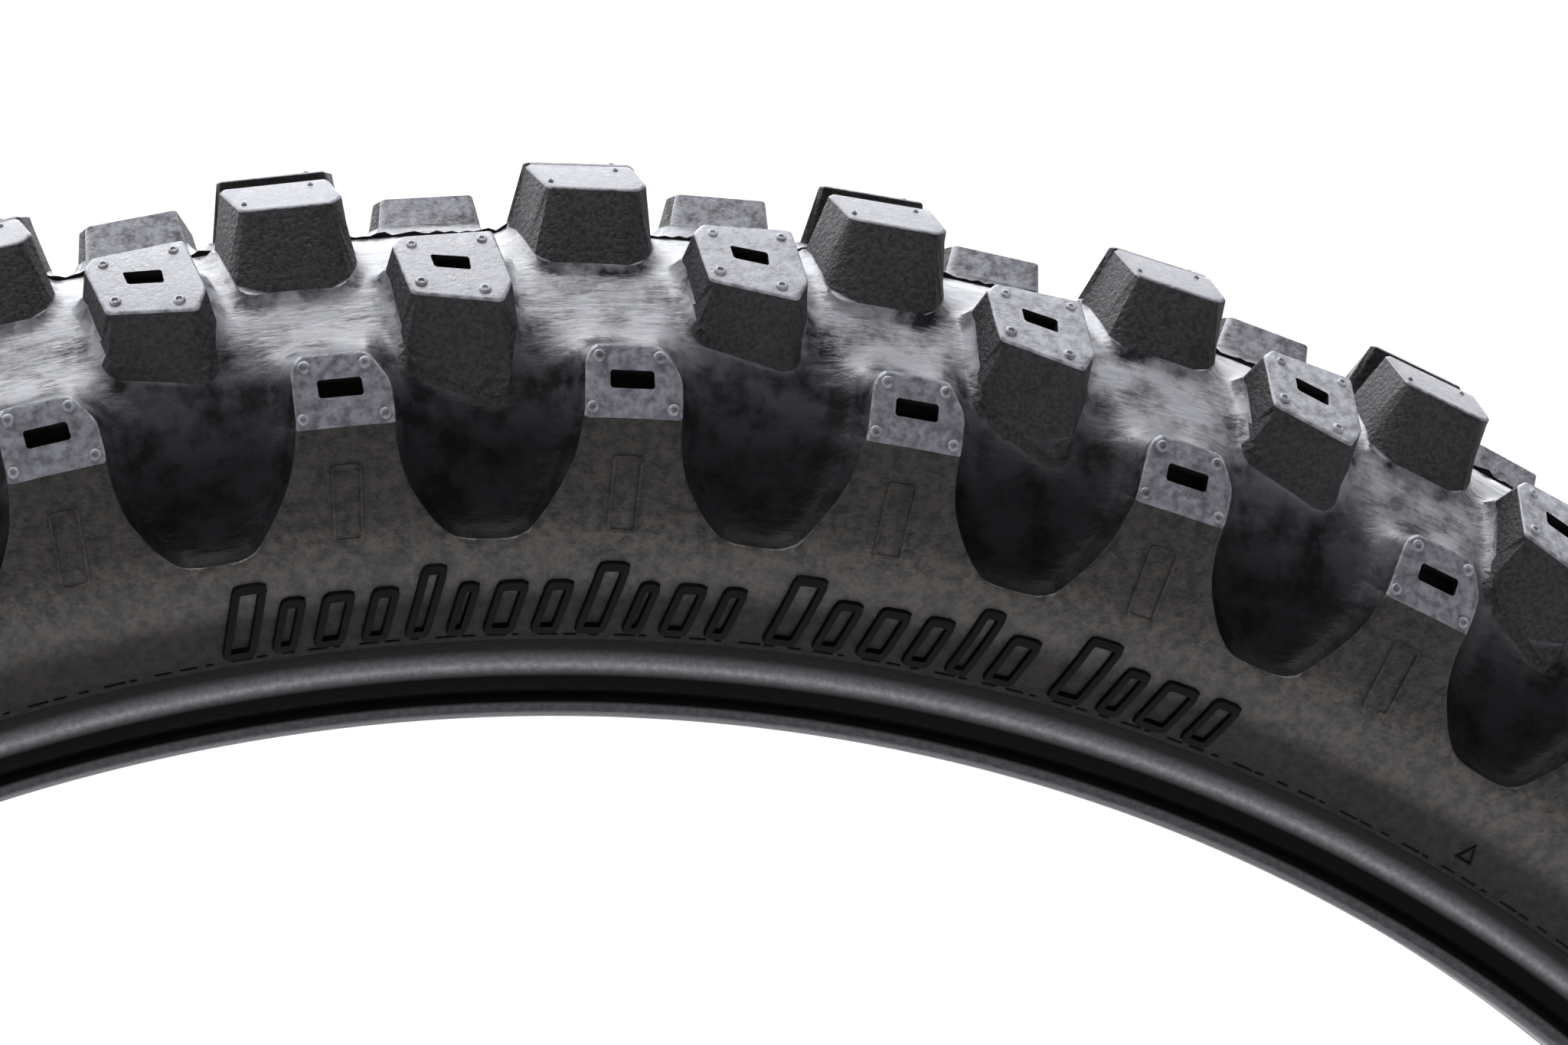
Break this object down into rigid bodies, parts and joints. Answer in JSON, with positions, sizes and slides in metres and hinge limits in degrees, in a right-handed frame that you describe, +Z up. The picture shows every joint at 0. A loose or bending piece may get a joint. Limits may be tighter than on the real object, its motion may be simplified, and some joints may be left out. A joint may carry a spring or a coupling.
{
  "type": "motorcycle tire",
  "caption": "Off-road motorcycle front tyre: staggered rows of knobs on a rounded crown, buttressed shoulders, plain sidewalls and an open bead circle for its rim.",
  "frame": {"origin": "wheel centre: on the wheel axis, midway between the beads", "axes": "+Y along the wheel axis, out of the left side; +Z up with the tyre upright; +X forward, so the crown moves to +X at the top as it rolls"},
  "size_m": [0.6986, 0.082, 0.6987],
  "materials": {
    "tread_rubber": "moulded tread compound: glossy between the knobs, matt and grained on the knob walls",
    "sidewall_rubber": "satin black rubber with a faint brown bloom",
    "inner_rubber": "matt black rubber",
    "liner_rubber": "satin black rubber with vent-line pattern",
    "cord_fabric": "rubbered nylon cord",
    "chafer_fabric": "glossy rubber over a fine square weave",
    "toe_rubber": "satin dark grey rubber",
    "bead_wire": "bronze-coated steel wire bundle"
  },
  "bodies": {
    "root": {"tread": "tread_rubber", "undertread": "inner_rubber", "crown_breaker": "cord_fabric", "outer_body_ply": "cord_fabric", "inner_body_ply": "cord_fabric", "inner_liner": "liner_rubber", "sidewall_right": "sidewall_rubber", "shoulder_wedge_right": "inner_rubber", "bead_core_right": "bead_wire", "bead_wrap_right": "cord_fabric", "bead_filler_right": "inner_rubber", "chafer_right": "chafer_fabric", "toe_strip_right": "toe_rubber", "sidewall_left": "sidewall_rubber", "shoulder_wedge_left": "inner_rubber", "bead_core_left": "bead_wire", "bead_wrap_left": "cord_fabric", "bead_filler_left": "inner_rubber", "chafer_left": "chafer_fabric", "toe_strip_left": "toe_rubber"}
  },
  "joints": []
}
